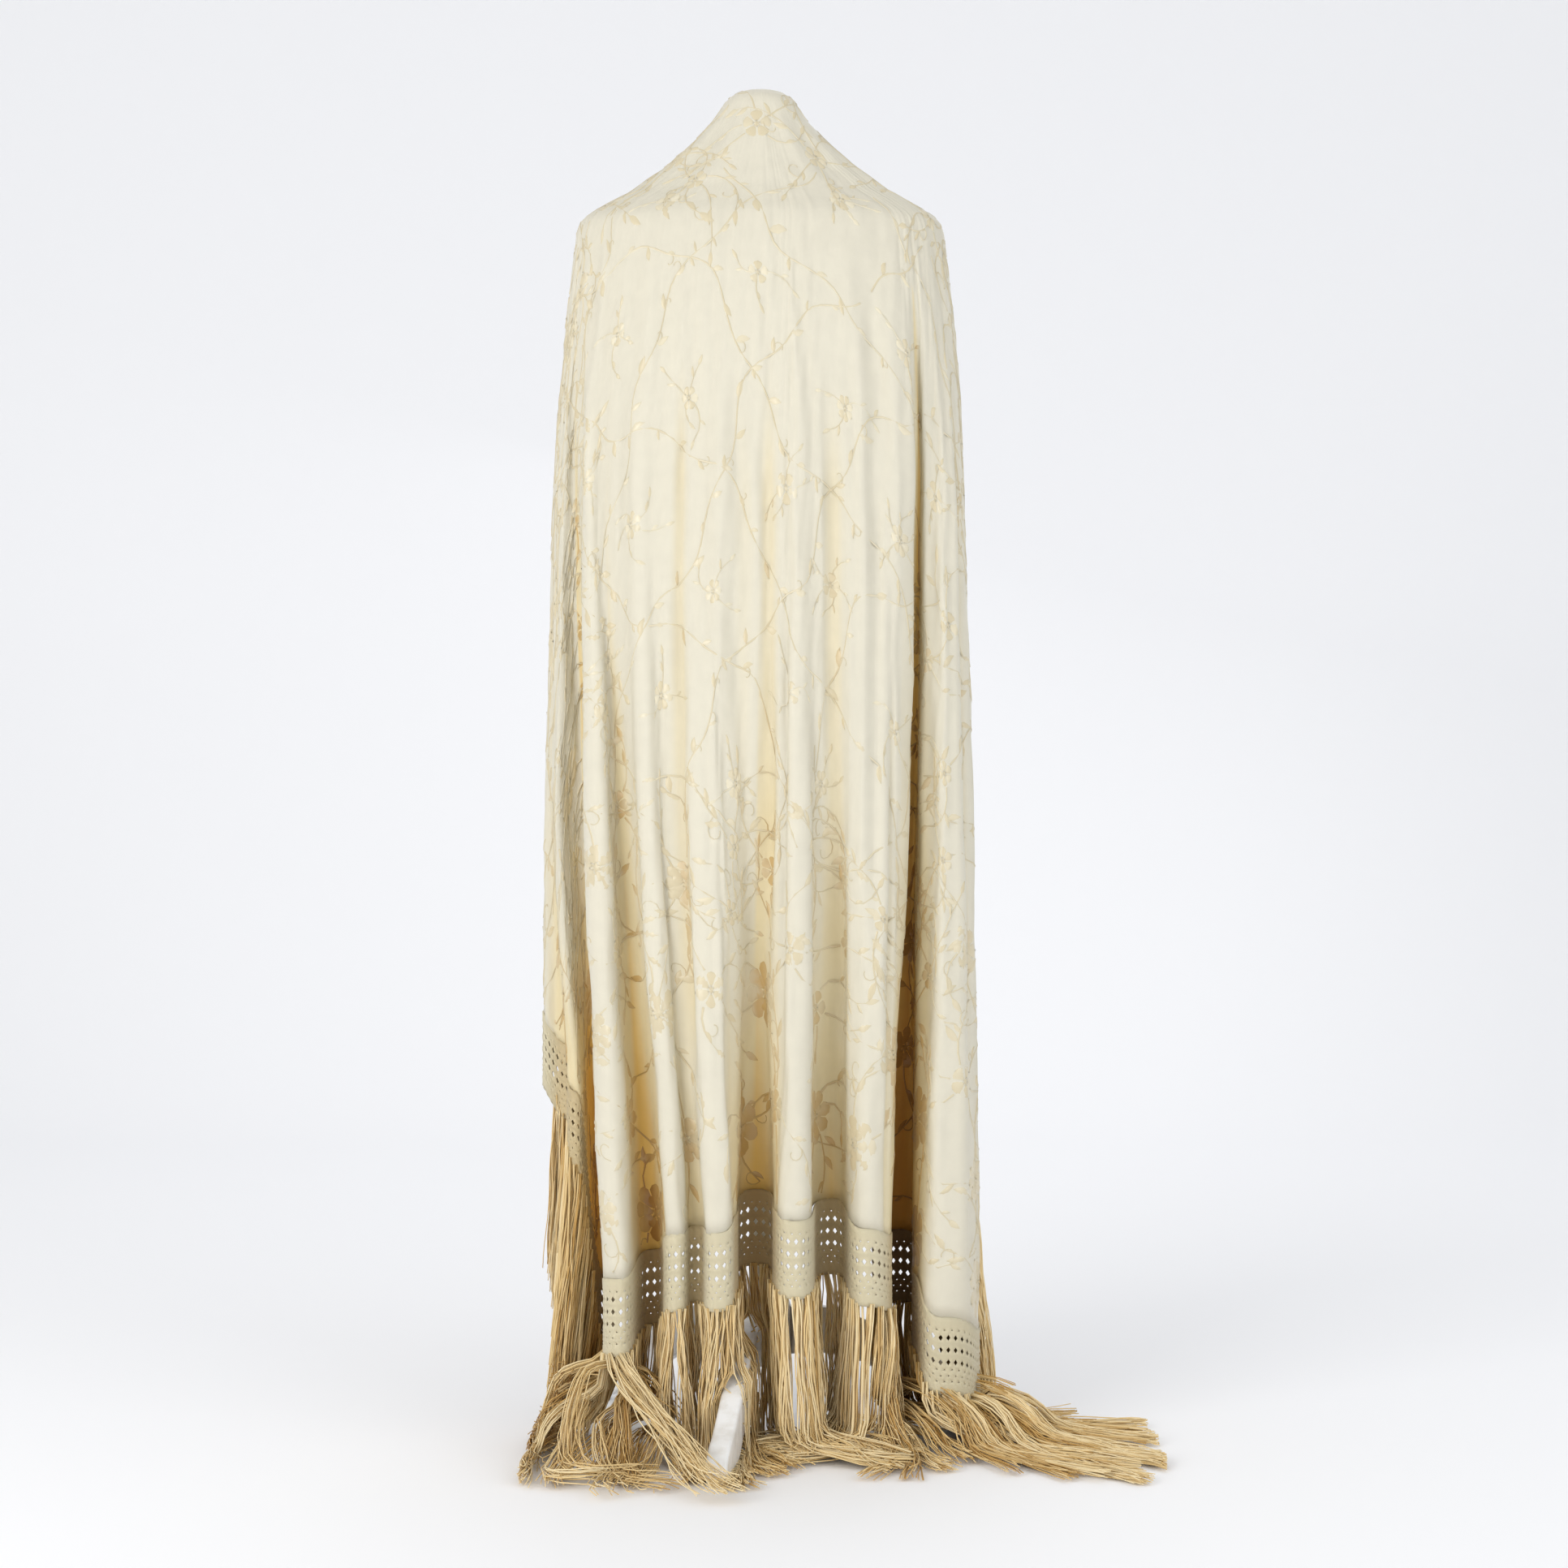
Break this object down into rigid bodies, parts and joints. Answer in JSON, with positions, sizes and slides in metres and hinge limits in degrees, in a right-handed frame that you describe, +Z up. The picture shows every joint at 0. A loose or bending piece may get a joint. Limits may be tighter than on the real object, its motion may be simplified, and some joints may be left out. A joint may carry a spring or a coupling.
{
  "type": "piano shawl on a limbless dress form with a stand",
  "caption": "Square cream silk piano shawl, tone-on-tone embroidery, knotted net heading and long golden fringe, draped over a limbless dress form on a white stand.",
  "frame": {"origin": "on the floor at the middle of the footprint", "axes": "+Z up; -Y the way the draped back of the shawl faces; +X to the right as seen from behind"},
  "size_m": [0.6492, 0.5672, 1.4632],
  "materials": {
    "silk": "soft satin crepe",
    "netting": "knotted silk cord",
    "fringe": "loose silk strands",
    "jersey": "matt knitted cover",
    "painted_wood": "painted white"
  },
  "bodies": {
    "root": {"shawl_shoulders": "silk", "shawl_back_left": "silk", "shawl_back_middle": "silk", "shawl_back_right": "silk", "shawl_left": "silk", "shawl_right": "silk", "shawl_front": "silk", "net_back": "netting", "net_left": "netting", "net_right": "netting", "net_front": "netting", "fringe_back": "fringe", "fringe_left": "fringe", "fringe_right": "fringe", "fringe_front": "fringe", "dress_form": "jersey", "stand_pole": "painted_wood", "stand_hub": "painted_wood", "stand_leg_1": "painted_wood", "stand_leg_2": "painted_wood", "stand_leg_3": "painted_wood"}
  },
  "joints": []
}
